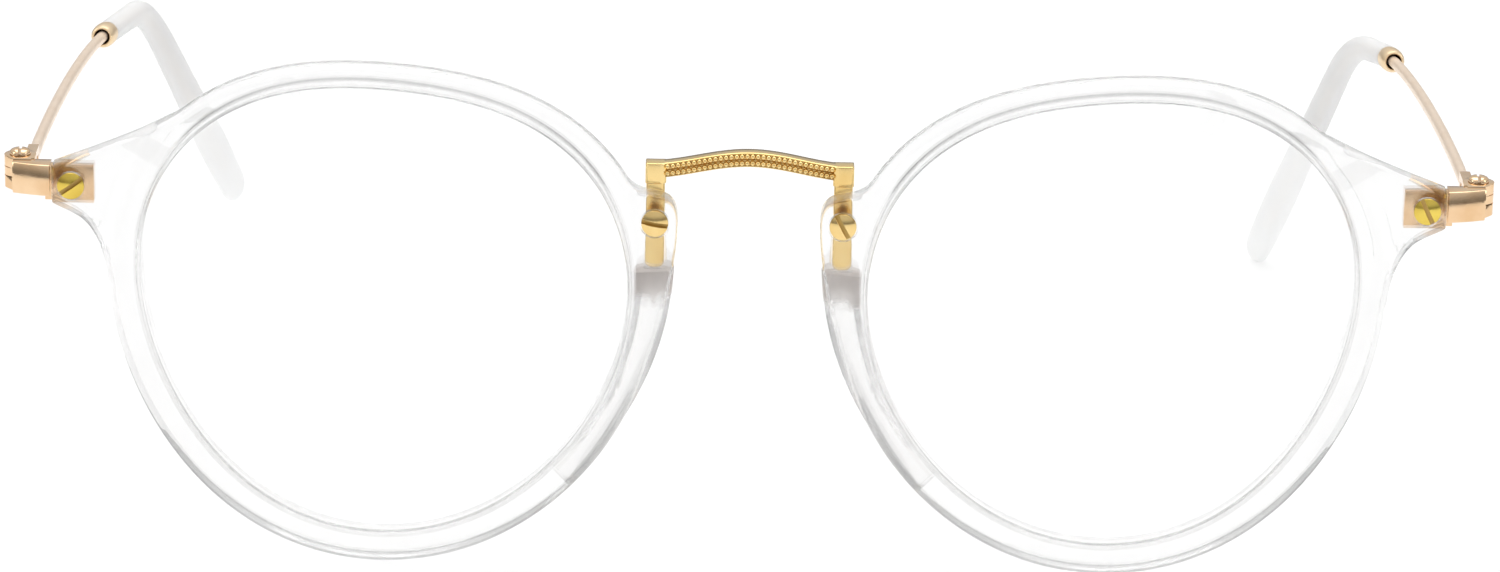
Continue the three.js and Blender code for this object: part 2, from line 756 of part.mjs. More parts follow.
// ---------- assembly ----------
const LOOKS = {
  clear: { color: 0xf4f6f6, roughness: 0.08, metalness: 0, transparent: true, opacity: 0.45 },
  lens: { color: 0xf8fbfb, roughness: 0.04, metalness: 0, transparent: true, opacity: 0.2 },
  milky: { color: 0xeef0f0, roughness: 0.3, metalness: 0, transparent: true, opacity: 0.75 },
  gold: { color: 0xd9b56a, roughness: 0.22, metalness: 1 },
  brass: { color: 0xc8a832, roughness: 0.25, metalness: 1 },
  rose: { color: 0xd9b98a, roughness: 0.2, metalness: 1 },
  wire: { color: 0xe3cdb0, roughness: 0.3, metalness: 1 },
};

function part(name, manifold, look, parent) {
  const geometry = toCreasedNormals(geometryOf(manifold), rad(35));
  const mesh = new THREE.Mesh(geometry, new THREE.MeshStandardMaterial(LOOKS[look]));
  mesh.name = name;
  parent.add(mesh);
  return mesh;
}

const root = new THREE.Group();
const spectacles = new THREE.Group();
spectacles.position.set(0, -MIDDLE_Y, FRONT_LIFT);
root.add(spectacles);
const rimFrame = new THREE.Group();
rimFrame.rotation.x = rad(FRONT_LEAN);
spectacles.add(rimFrame);

part("bridge", bridgeSolid(), "gold", rimFrame);
for (const side of ["left", "right"]) {
  const half = new THREE.Group();
  half.scale.x = side === "left" ? 1 : -1;
  rimFrame.add(half);
  part(side + "_rim", rimSolid(), "clear", half);
  part(side + "_lens", lensSolid(), "lens", half);
  part(side + "_nose_pad", padSolid(), "clear", half);

  const bridgeScrew = part(side + "_bridge_screw", frontScrew(BRIDGE_BACK), "brass", half);
  bridgeScrew.position.set(LEG_X, 0, BRIDGE_SCREW_W);
  bridgeScrew.rotation.y = rad(BRIDGE_SCREW_TURN[side]);

  part(side + "_endpiece", endpieceSolid(), "rose", half);
  const plateScrew = part(side + "_endpiece_screw", frontScrew(PLATE_BACK), "brass", half);
  plateScrew.position.set(PLATE_SCREW_X, 0, PLATE_SCREW_W);
  plateScrew.rotation.y = rad(PLATE_SCREW_TURN[side]);
  part(side + "_hinge_screw", hingeScrew(), "rose", half).position.set(HINGE_X, HINGE_Y, 0);

  part(side + "_temple_leaf", leafSolid(), "rose", half);
  part(side + "_temple_wire", wireSolid(side), "wire", half);
  part(side + "_temple_ferrule", ferruleSolid(), "gold", half);
  part(side + "_temple_tip", tipSolid(side), "milky", half);
}

export default root;
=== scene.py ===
"""Looks for the round clear-plastic spectacles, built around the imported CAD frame.

Shapes are drawn in the rim frame, in millimetres (x across, y back, w up), for the left half.
ROW brings them into the row frame in metres. The other half is the same shape mirrored.
"""
import math

import bmesh
import bpy
import numpy as np
from mathutils import Matrix, Vector


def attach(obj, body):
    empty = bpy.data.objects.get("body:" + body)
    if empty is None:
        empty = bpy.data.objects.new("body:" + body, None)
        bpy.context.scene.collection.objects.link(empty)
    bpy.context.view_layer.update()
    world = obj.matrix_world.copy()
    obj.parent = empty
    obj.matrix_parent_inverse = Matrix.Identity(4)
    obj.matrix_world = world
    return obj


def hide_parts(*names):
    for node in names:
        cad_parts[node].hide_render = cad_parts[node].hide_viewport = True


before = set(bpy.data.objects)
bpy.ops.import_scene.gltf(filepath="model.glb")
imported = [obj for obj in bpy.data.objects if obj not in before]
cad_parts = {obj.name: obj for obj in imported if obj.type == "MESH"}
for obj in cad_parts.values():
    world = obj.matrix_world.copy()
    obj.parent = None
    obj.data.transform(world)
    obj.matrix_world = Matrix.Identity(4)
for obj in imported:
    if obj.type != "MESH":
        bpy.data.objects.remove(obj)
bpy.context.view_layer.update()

MM = 0.001
LEAN = math.radians(3.42)
MIDDLE_Y = 63.67
FRONT_LIFT = 0.05
ROW = (
    Matrix.Scale(MM, 4)
    @ Matrix.Translation((0, -MIDDLE_Y, FRONT_LIFT))
    @ Matrix.Rotation(LEAN, 4, "X")
)
SIDES = {"left": 1, "right": -1}

# ---- lens outline and rim ----
LENS_X, LENS_W = 34.45, 25.8
HALF_DEEP = 1.7
GROOVE_HALF, GROOVE_DEEP = 0.75, 0.66
LUG_BACK = 0.7
LUG_END_X = 65.65
LUG_GROWS, LUG_SLOPE = 2.0, 1.6
INNER_EDGE_R, OUTER_EDGE_R, BACK_EDGE_Y = 0.3, 0.8, 0.9
PLAY = 0.1
LENS_TUCK, LENS_BOW, LENS_HALF_THICK = 0.5, 1.6, 0.5
PAD_FROM, PAD_SWEEP, PAD_STANDS_OFF = 168, 58, 0.05

# ---- bridge ----
BRIDGE_HALF, BRIDGE_RISE, BRIDGE_END_W, BRIDGE_TALL = 9.85, 1.27, 38.2, 1.42
BRIDGE_FRONT, BRIDGE_BACK = 0.4, 2.0
BLOCK_IN_X = 7.75
LEG_X, LEG_WIDE, LEG_LOW_W, LEG_FRONT = 8.85, 1.75, 29.6, 0.78
BEAD_PITCH, BEAD_R, BEADS_HALF = 0.5, 0.26, 16
ROW_SUNK = 0.16
BEAD_ROWS = (0.385, 1.035)

# ---- screws: x, w, turn of the slot for each side ----
BRIDGE_SCREW = (8.85, 34.35, {"left": 62, "right": -10})
PLATE_SCREW = (63.7, 36.95, {"left": 64, "right": 36})
HEAD_R, SHANK_R, SEAT_R, SLOT_WIDE = 1.28, 0.55, 1.4, 0.42
HEAD_SUNK, HEAD_DOME, HEAD_BACK, SLOT_DEEP = 0.03, 0.3, -1.29, 0.34
SEAT_BACK, SCREW_HOLE_R = -1.25, 0.63

# ---- endpiece and hinge ----
PLATE = (61.7, 66.35, 34.9, 38.3)
BAR_IN_X, BAR_OUT_X, BAR_LOW, BAR_TOP, BAR_RIDGE = 65.85, 69.45, 35.35, 38.4, 36.85
BAR_BACK = 2.3
HINGE_X, HINGE_Y, KNUCKLE_R = 68.95, 3.6, 1.5
KNUCKLES = ((35.4, 36.55), (37.5, 38.5))
LEAF_KNUCKLE = (36.63, 37.42)
PIN_R, PIN_HOLE_R, PIN_HEAD_R, PIN_LOW, PIN_SEAT = 0.5, 0.56, 1.0, 35.5, 38.53
PIN_HOLE_SPAN = (34, 40)
PLATE_FRONT, PLATE_BACK, SWING_PLAY = 0.78, 1.75, 0.15

# ---- temple ----
LEAF = (67.7, 68.7, 5.3, 8.6, 36.2, 38.0)
WIRE_R = 0.58
WIRE_START = np.array([68.2, 6.9, 37.1])
WIRE_LEAVES = np.array([69.4, 36.9, 33.9])
FERRULE = np.array([69.2, 87.4, 27.1])
FERRULE_AXIS = np.array([-0.1, 1.0, -0.11]) / math.sqrt(0.1**2 + 1 + 0.11**2)
FERRULE_LONG, FERRULE_R, FERRULE_MOUTH_R = 3.2, 1.29, 0.84
TIP_CORNER = {"left": (66.2, 98.4, 26.05), "right": (66.1, 100.1, 26.9)}
TIP_BEND_BEFORE = {"left": 5.5, "right": 3.5}
TIP_BEND_AFTER = {"left": 6.5, "right": 9.0}
TIP_STRAIGHT = {"left": 43.6, "right": 44.5}
TIP_INWARD = 9.8
TIP_DROP = {"left": 50.5, "right": 44.2}
TIP_WIDEST, TIP_NARROWS = 0.75, 0.15
TIP_START_R, TIP_END_WIDE, TIP_END_TALL = 1.24, 1.49, 2.18
WIRE_SHORT_OF_END = 6.0


# ---------- materials ----------
class Shader:
    """A node material being put together."""

    def __init__(self, name):
        self.material = bpy.data.materials.new(name)
        self.material.use_nodes = True
        self.tree = self.material.node_tree
        self.tree.nodes.clear()
        self.out = self.node("ShaderNodeOutputMaterial")
        self.place = self.node("ShaderNodeTexCoord").outputs["Object"]

    def node(self, kind, **settings):
        made = self.tree.nodes.new(kind)
        for key, value in settings.items():
            setattr(made, key, value)
        return made

    def link(self, a, b):
        self.tree.links.new(a, b)

    def stretched(self, scale):
        mapping = self.node("ShaderNodeMapping")
        mapping.inputs["Scale"].default_value = scale
        self.link(self.place, mapping.inputs["Vector"])
        return mapping.outputs["Vector"]

    def noise(self, scale, detail=3.0, rough=0.5, vector=None):
        made = self.node("ShaderNodeTexNoise")
        made.inputs["Scale"].default_value = scale
        made.inputs["Detail"].default_value = detail
        made.inputs["Roughness"].default_value = rough
        self.link(vector or self.place, made.inputs["Vector"])
        return made.outputs["Fac"]

    def ranged(self, value, low, high, start=0.3, end=0.7):
        made = self.node("ShaderNodeMapRange")
        limits = {"From Min": start, "From Max": end, "To Min": low, "To Max": high}
        for key, number in limits.items():
            made.inputs[key].default_value = number
        self.link(value, made.inputs["Value"])
        return made.outputs["Result"]

    def ramp(self, value, colours, start=0.3, end=0.7):
        made = self.node("ShaderNodeValToRGB")
        ends = made.color_ramp.elements
        ends[0].position, ends[1].position = start, end
        ends[0].color, ends[1].color = (*colours[0], 1), (*colours[1], 1)
        self.link(value, made.inputs["Fac"])
        return made.outputs["Color"]

    def bump(self, height, strength, distance):
        made = self.node("ShaderNodeBump")
        made.inputs["Strength"].default_value = strength
        made.inputs["Distance"].default_value = distance
        self.link(height, made.inputs["Height"])
        return made.outputs["Normal"]

    def principled(self, **values):
        made = self.node("ShaderNodeBsdfPrincipled")
        for key, value in values.items():
            made.inputs[key.replace("_", " ")].default_value = value
        return made

    def see_through_shadow(self, shader, tint):
        """Lets lamps through the clear piece, so that it throws only a light shadow."""
        path = self.node("ShaderNodeLightPath")
        clear = self.node("ShaderNodeBsdfTransparent")
        clear.inputs["Color"].default_value = (*tint, 1)
        mix = self.node("ShaderNodeMixShader")
        self.link(path.outputs["Is Shadow Ray"], mix.inputs[0])
        self.link(shader, mix.inputs[1])
        self.link(clear.outputs[0], mix.inputs[2])
        return mix.outputs[0]

    def thinned(self, shader, share):
        """Lets a share of the light straight through."""
        clear = self.node("ShaderNodeBsdfTransparent")
        mix = self.node("ShaderNodeMixShader")
        mix.inputs[0].default_value = share
        self.link(shader, mix.inputs[1])
        self.link(clear.outputs[0], mix.inputs[2])
        return mix.outputs[0]

    def finish(self, shader):
        self.link(shader, self.out.inputs["Surface"])
        return self.material


def metal(name, bright, deep, rough, scratch, metallic=1.0):
    """Polished plating: faint cloudy tone, uneven polish and fine hairlines."""
    s = Shader(name)
    body = s.principled(Metallic=metallic, IOR=1.5, Specular_IOR_Level=0.5)
    s.link(s.ramp(s.noise(320, 4), (deep, bright), 0.35, 0.62), body.inputs["Base Color"])
    s.link(s.ranged(s.noise(900, 5, 0.6), *rough), body.inputs["Roughness"])
    hairs = s.noise(4500, 3, 0.6, s.stretched((1.0, 0.25, 1.0)))
    s.link(s.bump(hairs, scratch, 0.00004), body.inputs["Normal"])
    return s.finish(body.outputs[0])


def clear_plastic(name, tints, rough, ior, wave, shadow, thin):
    """Cast acetate: nearly clear, with a faint cloud in its tint and a slightly wavy polish."""
    s = Shader(name)
    body = s.principled(Metallic=0.0, IOR=ior, Transmission_Weight=1.0)
    s.link(s.ramp(s.noise(140, 3), tints), body.inputs["Base Color"])
    s.link(s.ranged(s.noise(600, 4), *rough), body.inputs["Roughness"])
    s.link(s.bump(s.noise(110, 1), wave, 0.0002), body.inputs["Normal"])
    return s.finish(s.see_through_shadow(s.thinned(body.outputs[0], thin), shadow))


def milky_plastic(name):
    """Frosted translucent tip, through which its core wire just shows."""
    s = Shader(name)
    body = s.principled(Metallic=0.0, IOR=1.46, Specular_IOR_Level=0.4)
    body.inputs["Subsurface Weight"].default_value = 0.6
    body.inputs["Subsurface Scale"].default_value = 0.002
    body.inputs["Subsurface Radius"].default_value = (1.0, 0.97, 0.94)
    tints = (0.735, 0.74, 0.745), (0.785, 0.79, 0.79)
    s.link(s.ramp(s.noise(90, 2), tints), body.inputs["Base Color"])
    s.link(s.ranged(s.noise(700, 4), 0.34, 0.46), body.inputs["Roughness"])
    s.link(s.bump(s.noise(2600, 2), 0.1, 0.00003), body.inputs["Normal"])
    return s.finish(s.see_through_shadow(s.thinned(body.outputs[0], 0.14), (0.88, 0.88, 0.875)))


def pad_plastic(name):
    """Clear pad with a grey-beige reflection painted in a band at its top, where the plastic is
    also rougher and less clear.
    """
    s = Shader(name)
    body = s.principled(Metallic=0.0, IOR=1.47, Transmission_Weight=1.0)
    split = s.node("ShaderNodeSeparateXYZ")
    s.link(s.place, split.inputs[0])
    height = s.node("ShaderNodeMath", operation="ADD")
    s.link(split.outputs["Z"], height.inputs[0])
    s.link(s.ranged(s.noise(420, 3), -0.0009, 0.0009), height.inputs[1])
    # band: the top of the pad by height, with a ragged edge, where the reflection is painted
    band = s.ranged(height.outputs[0], 0.0, 1.0, 0.0255, 0.0264)
    # clear below, and a painted grey-beige reflection in the band
    tints = (0.955, 0.95, 0.945), (0.57, 0.515, 0.485)
    s.link(s.ramp(band, tints, 0.0, 1.0), body.inputs["Base Color"])
    s.link(s.ranged(band, 0.08, 0.4, 0.0, 1.0), body.inputs["Roughness"])
    s.link(s.ranged(band, 1.0, 0.3, 0.0, 1.0), body.inputs["Transmission Weight"])
    s.link(s.bump(s.noise(150, 1), 0.06, 0.0002), body.inputs["Normal"])
    return s.finish(s.see_through_shadow(s.thinned(body.outputs[0], 0.22), (0.85, 0.85, 0.84)))


def floor_material():
    s = Shader("pale_floor")
    body = s.principled(Metallic=0.0, IOR=1.45)
    tints = (0.86, 0.86, 0.86), (0.88, 0.88, 0.88)
    s.link(s.ramp(s.noise(3, 4), tints), body.inputs["Base Color"])
    s.link(s.ranged(s.noise(60, 3), 0.75, 0.85), body.inputs["Roughness"])
    return s.finish(body.outputs[0])


LOOKS = {
    "clear": clear_plastic(
        "clear_rim_plastic", ((0.87, 0.87, 0.868), (0.9, 0.9, 0.898)), (0.005, 0.025), 1.47, 0.05,
        (0.9, 0.9, 0.9), 0.32,
    ),
    "pad": pad_plastic("clear_pad_with_painted_top_reflection"),
    "lens": clear_plastic(
        "clear_lens", ((0.992, 0.995, 0.994), (0.997, 0.998, 0.998)), (0.0, 0.008), 1.5, 0.01,
        (0.96, 0.96, 0.96), 0.3,
    ),
    "milky": milky_plastic("milky_tip_plastic"),
    "gold": metal("gold_plating", (0.90, 0.67, 0.30), (0.82, 0.57, 0.22), (0.10, 0.2), 0.1),
    # darker gold for the sunk channels of the bead rows: painted shade in the recesses
    "gold_shade": metal(
        "gold_with_painted_groove_shade", (0.80, 0.57, 0.24), (0.66, 0.44, 0.16), (0.3, 0.4), 0.12
    ),
    # darker brass for the floors of the screw slots: painted shade in the recesses
    "brass_shade": metal(
        "brass_with_painted_slot_shade", (0.52, 0.35, 0.12), (0.38, 0.24, 0.07), (0.3, 0.4), 0.12
    ),
    "ferrule": metal(
        "pale_gold_plating", (0.93, 0.73, 0.48), (0.86, 0.65, 0.40), (0.28, 0.36), 0.08, 0.8
    ),
    # dark brown for the bore of the ferrule: a painted shadow inside its mouth
    "mouth": metal(
        "painted_shadow_inside_the_ferrule", (0.26, 0.12, 0.06), (0.16, 0.07, 0.03), (0.4, 0.5), 0.08
    ),
    "rose": metal("rose_gold_plating", (0.90, 0.65, 0.41), (0.80, 0.53, 0.30), (0.06, 0.14), 0.1),
    "wire": metal("rose_gold_wire", (0.97, 0.80, 0.64), (0.93, 0.75, 0.58), (0.3, 0.36), 0.03, 0.5),
    "brass": metal("brass_screw", (0.84, 0.64, 0.13), (0.68, 0.47, 0.08), (0.12, 0.24), 0.15),
}


# ---------- mesh helpers, in rim-frame millimetres ----------
def mesh_object(name, points, faces, weld=1e-4):
    mesh = bpy.data.meshes.new(name)
    mesh.from_pydata([tuple(map(float, p)) for p in points], [], faces)
    bm = bmesh.new()
    bm.from_mesh(mesh)
    bmesh.ops.remove_doubles(bm, verts=bm.verts, dist=weld)
    bmesh.ops.dissolve_degenerate(bm, edges=bm.edges, dist=weld)
    bmesh.ops.recalc_face_normals(bm, faces=bm.faces)
    bm.to_mesh(mesh)
    bm.free()
    made = bpy.data.objects.new(name, mesh)
    bpy.context.scene.collection.objects.link(made)
    return made


def skin(name, rings, endless=False, caps=True):
    """A closed skin over rings of points; open ends are closed by flat caps."""
    rings = np.asarray(rings, float)
    count, around = rings.shape[:2]
    faces = []
    for i in range(count if endless else count - 1):
        a, b = i * around, ((i + 1) % count) * around
        for k in range(around):
            n = (k + 1) % around
            faces.append((a + k, b + k, b + n, a + n))
    if caps and not endless:
        faces.append(tuple(range(around)))
        faces.append(tuple((count - 1) * around + k for k in reversed(range(around))))
    return mesh_object(name, rings.reshape(-1, 3), faces)


def lathe(name, profile, sides=40):
    """Profile (radius, along) turned round the w axis."""
    turns = [2 * math.pi * k / sides for k in range(sides)]
    rings = [[(r * math.cos(t), r * math.sin(t), along) for t in turns] for r, along in profile]
    return skin(name, rings, caps=False)


def prism(name, outline, low, high, plan=True, edge=0.0, segments=3, sides_too=False):
    """An outline made solid: in plan between two heights, or from the front between two depths."""
    def spot(p, t):
        return (p[0], p[1], t) if plan else (p[0], t, p[1])
    count = len(outline)
    points = [spot(p, low) for p in outline] + [spot(p, high) for p in outline]
    faces = [tuple(range(count)), tuple(count + k for k in reversed(range(count)))]
    faces += [(k, (k + 1) % count, count + (k + 1) % count, count + k) for k in range(count)]
    made = mesh_object(name, points, faces)
    if edge:
        round_edges(made, edge, segments, None if sides_too else (2 if plan else 1))
    return made


def round_edges(made, width, segments=2, along=None, sharper=30):
    """Rounds a shape's sharp edges, or only those that lie flat across the axis `along`."""
    bm = bmesh.new()
    bm.from_mesh(made.data)
    edges = []
    for e in bm.edges:
        if len(e.link_faces) != 2 or e.calc_face_angle() < math.radians(sharper):
            continue
        if along is None or abs(e.verts[0].co[along] - e.verts[1].co[along]) < 1e-6:
            edges.append(e)
    bmesh.ops.bevel(
        bm, geom=edges, offset=width, segments=segments, profile=0.5,
        affect="EDGES", clamp_overlap=True,
    )
    bm.to_mesh(made.data)
    bm.free()


def combine(base, others, operation):
    """Joins or cuts a shape with others, and removes them."""
    for other in others:
        step = base.modifiers.new("cut", "BOOLEAN")
        step.operation, step.object, step.solver = operation, other, "EXACT"
    bpy.context.view_layer.update()
    finished = base.evaluated_get(bpy.context.evaluated_depsgraph_get())
    result = bpy.data.meshes.new_from_object(finished)
    base.modifiers.clear()
    base.data = result
    for other in others:
        bpy.data.objects.remove(other)
    return base


def move(made, offset=(0, 0, 0), turn=None):
    made.data.transform(Matrix.Translation(offset) @ (turn or Matrix.Identity(4)))
    return made


def joined(name, shapes):
    """Several closed shapes in one piece."""
    bm = bmesh.new()
    for shape in shapes:
        bm.from_mesh(shape.data)
        bpy.data.objects.remove(shape)
    mesh = bpy.data.meshes.new(name)
    bm.to_mesh(mesh)
    bm.free()
    made = bpy.data.objects.new(name, mesh)
    bpy.context.scene.collection.objects.link(made)
    return made


def piece(shape, name, look, body, slot, nodes, side="left", shade=None, in_shade=None):
    """Brings a finished shape into the row frame as a piece that rides on a body.

    Faces for which in_shade is true get the second look.
    """
    made = bpy.data.objects.new(name, shape.data.copy())
    bpy.context.scene.collection.objects.link(made)
    mirror = Matrix.Diagonal((SIDES[side], 1, 1, 1))
    made.data.transform(ROW @ mirror)
    if SIDES[side] < 0:
        made.data.flip_normals()
    made.data.name = name
    made.data.materials.clear()
    made.data.materials.append(LOOKS[look])
    if shade:
        made.data.materials.append(LOOKS[shade])
        for face, original in zip(made.data.polygons, shape.data.polygons):
            face.material_index = int(in_shade(original))
    made.data.shade_smooth()
    made.data.set_sharp_from_angle(angle=math.radians(32))
    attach(made, body)
    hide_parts(*nodes)
    return made


def both(shape, what, look, slot, temple=False, **shading):
    """The same shape for both halves."""
    for side in SIDES:
        body = side + "_temple" if temple else "front"
        piece(shape, f"{side}_{what}_look", look, body, slot, [f"{side}_{what}"], side, **shading)
    bpy.data.objects.remove(shape)


def arc(cx, cy, radius, start, end, steps=4):
    turns = [math.radians(start + (end - start) * i / steps) for i in range(steps + 1)]
    return [(cx + radius * math.cos(t), cy + radius * math.sin(t)) for t in turns]


def quadratic(a, b, c, steps=24):
    a, b, c = map(np.array, (a, b, c))
    shares = np.linspace(0, 1, steps + 1)
    return [tuple((1 - t) ** 2 * a + 2 * t * (1 - t) * b + t * t * c) for t in shares]


def cubic(a, b, c, d, steps):
    t = np.linspace(0, 1, steps + 1)[:, None]
    return (1 - t) ** 3 * a + 3 * t * (1 - t) ** 2 * b + 3 * t * t * (1 - t) * c + t**3 * d


# ---------- rims ----------
def opening(angle):
    return (
        22.55 + 0.45 * math.cos(2 * angle) + 0.35 * math.sin(2 * angle) + 0.87 * math.sin(3 * angle)
        - 0.2 * math.cos(3 * angle) - 0.17 * math.cos(4 * angle)
    )


def rim_width(angle):
    return 2.55 - 0.45 * math.sin(angle) + 0.45 * math.cos(angle) ** 2 - 0.03


def beside_lens(angle, out, y):
    r = opening(angle) + out
    return (LENS_X + r * math.cos(angle), y, LENS_W + r * math.sin(angle))


def lug_outline(which):
    """The outline (x, w) of a lug, from its upper to its lower start on the rim."""
    if which == "temple":
        top = beside_lens(math.radians(60), 2.0, 0)
        line = quadratic((top[0], top[2]), (55.9, 42.5), (LUG_END_X - 0.5, 39.13), 40)
        line += quadratic((LUG_END_X - 0.4, 39.08), (LUG_END_X, 39.0), (LUG_END_X, 38.6), 6)
        line += quadratic((LUG_END_X, 35.5), (LUG_END_X, 35.1), (LUG_END_X - 0.4, 35.0), 6)
        line += quadratic((LUG_END_X - 0.5, 34.95), (60.9, 34.0), (60.4, 27.4), 40)
    else:
        line = quadratic((13.3, 40.2), (11.6, 37.7), (9.9, 37.3), 20)
        line += quadratic((8.5, 37.05), (6.75, 36.9), (6.6, 34.8), 24)
        line += quadratic((6.6, 34.8), (6.55, 32.5), (7.05, 29.5), 12)
        line += quadratic((7.05, 29.5), (7.7, 24.5), (9.9, 19.0), 20)
    return line


def lug_reach(which):
    """(angle, radius) samples of a lug's outline as seen from the lens centre, sorted by angle."""
    polar = []
    for x, w in lug_outline(which):
        angle = math.atan2(w - LENS_W, x - LENS_X) % (2 * math.pi)
        polar.append((angle, math.hypot(x - LENS_X, w - LENS_W)))
    return np.array(sorted(polar))


LUG_REACH = {which: lug_reach(which) for which in ("temple", "nose")}


def rim_reach(angle):
    """How far the front of the rim reaches out beyond the opening, lugs included."""
    wide = rim_width(angle)
    best = wide
    blend = 0.25
    for samples in LUG_REACH.values():
        if samples[0, 0] <= angle <= samples[-1, 0]:
            lug = float(np.interp(angle, samples[:, 0], samples[:, 1])) - opening(angle)
            eased = math.sqrt((lug - wide) ** 2 + blend**2) - blend * 0.9
            best = max(best, (lug + wide + eased) / 2)
    return best


def rim_section(angle):
    """The rim's cross-section as (out from the opening, depth), thinner at the back of a lug."""
    wide, reach = rim_width(angle), rim_reach(angle)
    nasal = math.cos(angle) < 0
    grown = min(1.0, (reach - wide) / LUG_GROWS)
    lugged = grown * grown * (3 - 2 * grown)
    edge = INNER_EDGE_R
    front = OUTER_EDGE_R - (0.35 if nasal else 0.15) * lugged
    back = (0.22 if nasal else 0.32) * lugged
    shelf = BACK_EDGE_Y + (LUG_BACK - BACK_EDGE_Y) * lugged
    toe = wide + max(0.0, min(LUG_SLOPE, reach - wide - back))
    knots = [
        (toe, shelf), (toe - lugged, shelf + 0.44 * (1 - lugged)),
        (wide - 0.36 + 0.06 * lugged, HALF_DEEP), (wide - 0.8 - 0.6 * lugged, HALF_DEEP),
    ]
    section = arc(edge, -HALF_DEEP + edge, edge, 180, 270, 3)
    section += arc(reach - front, -HALF_DEEP + front, front, 270, 360, 5)
    section += arc(reach - back, shelf - back, back, 0, 90, 3)
    section += [tuple(p) for p in cubic(*map(np.array, knots), 10)]
    section += arc(edge, HALF_DEEP - edge, edge, 90, 180, 3)
    section += [(0, GROOVE_HALF), (GROOVE_DEEP, GROOVE_HALF)]
    section += [(GROOVE_DEEP, -GROOVE_HALF), (0, -GROOVE_HALF)]
    return section


def rim_angles():
    """Steps round the rim, closer together where the lugs end."""
    degrees = set(np.arange(0, 360, 1.5).round(3))
    for low, high in ((14, 26), (144, 170)):
        degrees |= set(np.arange(low, high, 0.5).round(3))
    return [math.radians(d) for d in sorted(degrees)]


def seat_cutter(x, w):
    """The stepped bore of a front screw, cut right through."""
    before, behind = -HALF_DEEP - 1, HALF_DEEP + 0.9
    seat = lathe("seat", [
        (0, before), (SEAT_R, before), (SEAT_R, SEAT_BACK),
        (SCREW_HOLE_R, SEAT_BACK), (SCREW_HOLE_R, behind), (0, behind),
    ])
    return move(seat, (x, 0, w), Matrix.Rotation(math.radians(-90), 4, "X"))


def rim_shape():
    rings = [[beside_lens(a, out, y) for out, y in rim_section(a)] for a in rim_angles()]
    ring = skin("rim", rings, endless=True)
    half, low, top = LEG_WIDE / 2 + PLAY, LEG_LOW_W - 0.15, 46
    inner, outer = LEG_X - half, LEG_X + half
    pocket = [(inner, low), (outer, low), (outer, top), (inner, top)]
    cutters = [prism("pocket", pocket, LUG_BACK, 4, plan=False)]
    cutters += [seat_cutter(*BRIDGE_SCREW[:2]), seat_cutter(*PLATE_SCREW[:2])]
    return combine(ring, cutters, "DIFFERENCE")


def lens_shape():
    around = [2 * math.pi * i / 180 for i in range(180)]

    def ring(share, y_side):
        y = -LENS_BOW * (1 - share * share) + y_side
        points = []
        for a in around:
            r = (opening(a) + LENS_TUCK) * share
            points.append((LENS_X + r * math.cos(a), y, LENS_W + r * math.sin(a)))
        return points

    shares = [0.0, 0.12, 0.25, 0.4, 0.55, 0.7, 0.82, 0.92, 0.99]
    half, edge = LENS_HALF_THICK, 0.3
    rings = [ring(s, -half) for s in shares] + [ring(1.0, -edge), ring(1.0, edge)]
    rings += [ring(s, half) for s in reversed(shares)]
    return skin("lens", rings, caps=False)


def pad_shape():
    """A crescent on the back of the rim, deepest at its top, where it is cut off level."""
    front = HALF_DEEP + PAD_STANDS_OFF
    rings = []
    for share in np.linspace(0, 1, 49):
        angle = math.radians(PAD_FROM + PAD_SWEEP * share)
        deep = 0.25 + 3.3 * (1 - share**1.6)
        wide = 4.75 - 1.6 * share**0.65
        knots = [
            (0.8, 0.02), (1.4, 0.0), (wide - 0.35, 0.0), (wide - 0.08, 0.05),
            (wide, 0.2), (wide - 0.14, 0.42), (wide - 0.45, 0.62), (wide - 0.8, 0.79),
            (wide - 1.15, 0.91), (wide - 1.5, 0.98), (wide - 1.85, 1.0),
            (1.6, 0.93), (1.15, 0.78), (0.92, 0.58), (0.8, 0.36), (0.76, 0.14),
        ]
        rings.append([beside_lens(angle, out, front + depth * deep) for out, depth in knots])
    pad = skin("pad", rings)
    bm = bmesh.new()
    bm.from_mesh(pad.data)
    everything = list(bm.verts) + list(bm.edges) + list(bm.faces)
    top, top_up = (8, 0, 28.98), (0.06, 0, 1)
    cut = bmesh.ops.bisect_plane(
        bm, geom=everything, plane_co=top, plane_no=top_up, clear_outer=True
    )
    rim = [g for g in cut["geom_cut"] if isinstance(g, bmesh.types.BMEdge)]
    bmesh.ops.holes_fill(bm, edges=rim)
    bmesh.ops.recalc_face_normals(bm, faces=bm.faces)
    bm.to_mesh(pad.data)
    bm.free()
    round_edges(pad, 0.12, 2, sharper=50)
    return pad


# ---------- bridge ----------
def underside(x):
    return BRIDGE_END_W + BRIDGE_RISE * (1 + math.cos(math.pi * x / BRIDGE_HALF)) / 2


def arch_shape():
    """The arch, its section (depth, height) drawn from the lower back edge round the front."""
    f, b, t, sunk = BRIDGE_FRONT, BRIDGE_BACK, BRIDGE_TALL, BRIDGE_FRONT + ROW_SUNK
    section = [
        (b - 0.15, 0.0), (f + 0.1, 0.0), (f + 0.02, 0.03), (f, 0.08), (f + 0.02, 0.12),
        (sunk, 0.15), (sunk, 0.66), (f + 0.05, 0.69), (f + 0.03, 0.71), (f + 0.05, 0.73),
        (sunk, 0.76), (sunk, 1.27), (f + 0.02, 1.29), (f, 1.32), (f + 0.02, 1.37),
        (f + 0.09, t - 0.01), (f + 0.2, t), (b - 0.25, t), (b - 0.07, t - 0.07),
        (b, t - 0.25), (b, 0.2), (b - 0.05, 0.06),
    ]
    ends = BRIDGE_HALF - 0.3
    rings = []
    for x in np.linspace(-ends, ends, 91):
        rings.append([(x, y, underside(x) + w) for y, w in section])
    return skin("arch", rings)


def bead_template():
    bm = bmesh.new()
    bmesh.ops.create_icosphere(bm, subdivisions=2, radius=BEAD_R)
    mesh = bpy.data.meshes.new("bead")
    bm.to_mesh(mesh)
    bm.free()
    return mesh


